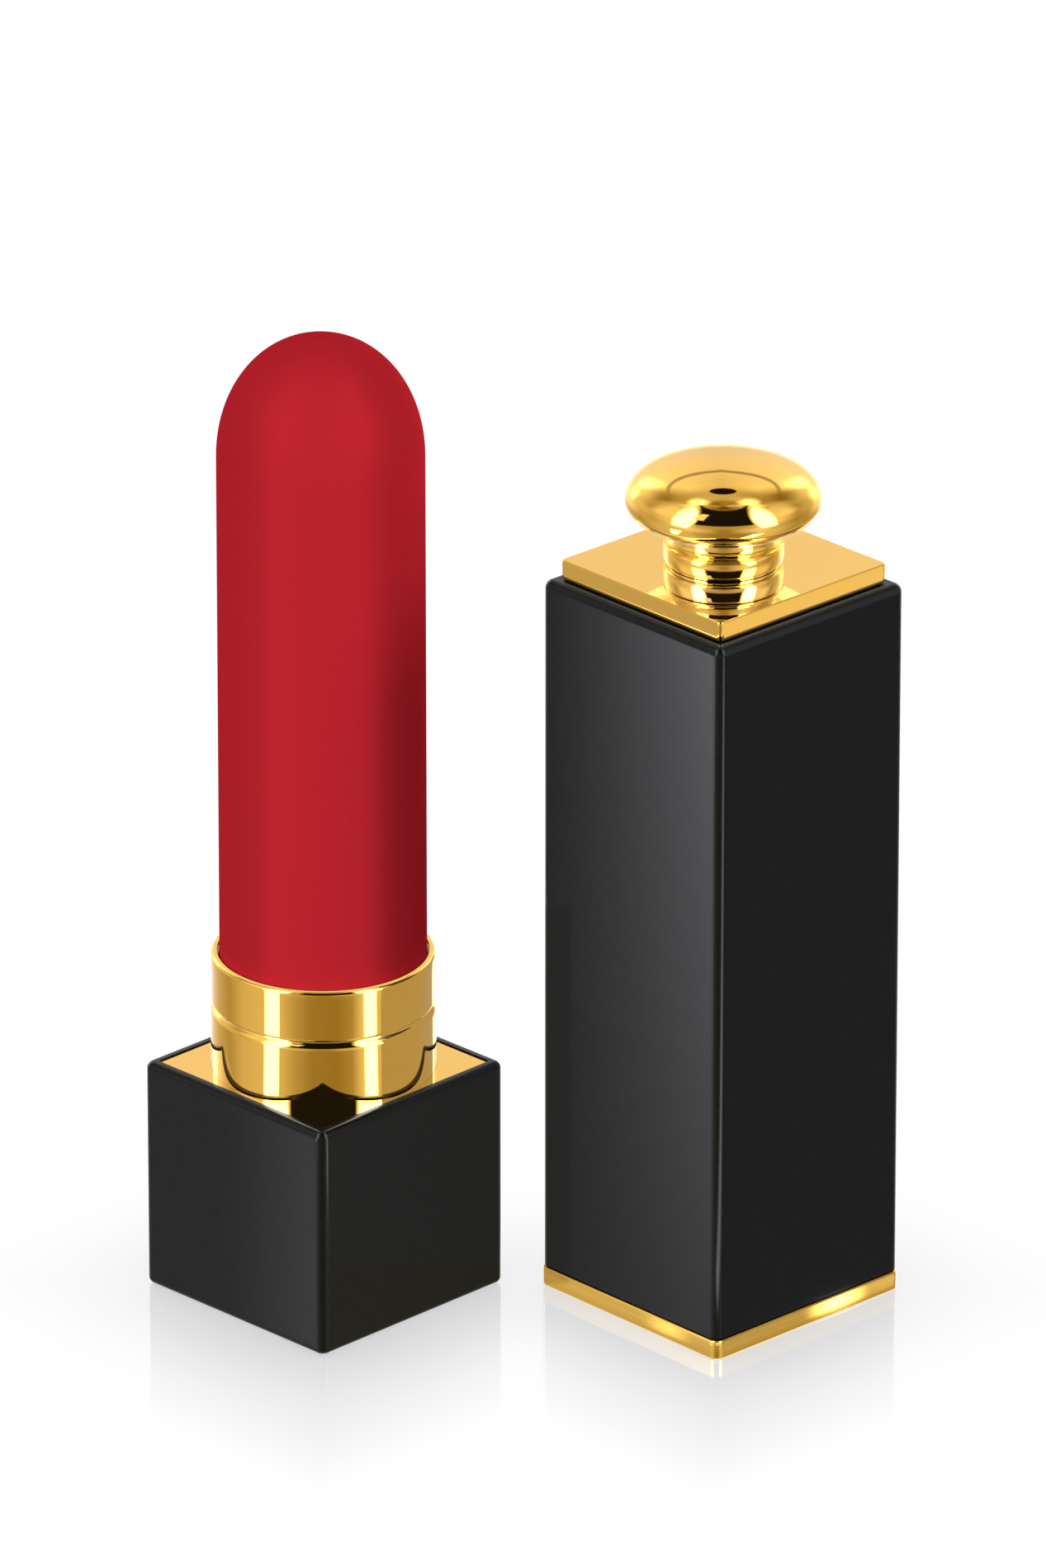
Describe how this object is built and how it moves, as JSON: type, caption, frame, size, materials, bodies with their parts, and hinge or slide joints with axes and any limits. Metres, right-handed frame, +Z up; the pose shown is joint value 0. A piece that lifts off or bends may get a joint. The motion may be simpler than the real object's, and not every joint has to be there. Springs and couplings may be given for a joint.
{
  "type": "lipstick case",
  "caption": "Square lipstick case standing open: cube base with a round collar and a raised domed stick, and its tall square cap with a flattened knob on top standing beside it.",
  "frame": {"origin": "centre of the base's square foot face, on the surface that the object stands on", "axes": "+Z up along the stick; X and Y are square to the base's side faces; the cap stands towards +X and +Y"},
  "size_m": [0.0448, 0.0439, 0.0837],
  "materials": {
    "base_shell": "black lacquer, satin gloss",
    "shade_label": "blank film label",
    "base_weight": "plain sheet steel",
    "mechanism_core": "moulded, natural white",
    "spindle": "moulded, natural white",
    "glide_washer": "low-friction washer",
    "top_plate": "gold plated, mirror polished",
    "collar_shell": "gold plated, mirror polished",
    "guide_sleeve": "moulded, natural white",
    "carrier": "moulded, natural white",
    "lipstick": "smooth matt red",
    "cap_shell": "black lacquer, satin gloss",
    "cap_rim": "gold plated, brushed along the edge",
    "cap_liner": "moulded, black",
    "plate_pad": "black adhesive pad",
    "cap_top_plate": "gold plated, mirror polished",
    "neck_ring": "gold plated, mirror polished",
    "knob": "gold plated, mirror polished",
    "knob_screw": "zinc plated",
    "knob_washer": "zinc plated"
  },
  "bodies": {
    "base": {"base_shell": "base_shell", "shade_label": "shade_label", "base_weight": "base_weight", "mechanism_core": "mechanism_core", "spindle": "spindle", "glide_washer": "glide_washer", "top_plate": "top_plate"},
    "collar": {"collar_shell": "collar_shell", "guide_sleeve": "guide_sleeve"},
    "stick": {"carrier": "carrier", "lipstick": "lipstick"},
    "cap": {"cap_shell": "cap_shell", "cap_rim": "cap_rim", "cap_liner": "cap_liner", "plate_pad": "plate_pad", "cap_top_plate": "cap_top_plate", "neck_ring": "neck_ring", "knob": "knob", "knob_screw": "knob_screw", "knob_washer": "knob_washer"}
  },
  "joints": [
    {"name": "collar_turn", "type": "hinge", "parent": "base", "child": "collar", "pos_m": [0, 0, 0.02], "axis": [0, 0, 1], "range_deg": [0, 360]},
    {"name": "stick_rise", "type": "slide", "parent": "collar", "child": "stick", "axis": [0, 0, 1], "range_m": [-0.012, 0]},
    {"name": "cap_lift", "type": "slide", "parent": "base", "child": "cap", "axis": [0, 0, 1], "range_m": [0, 0.09]}
  ],
  "couplings": [
    {"joint": "collar_turn", "follows": "stick_rise", "rad_per_m": -523.59}
  ]
}
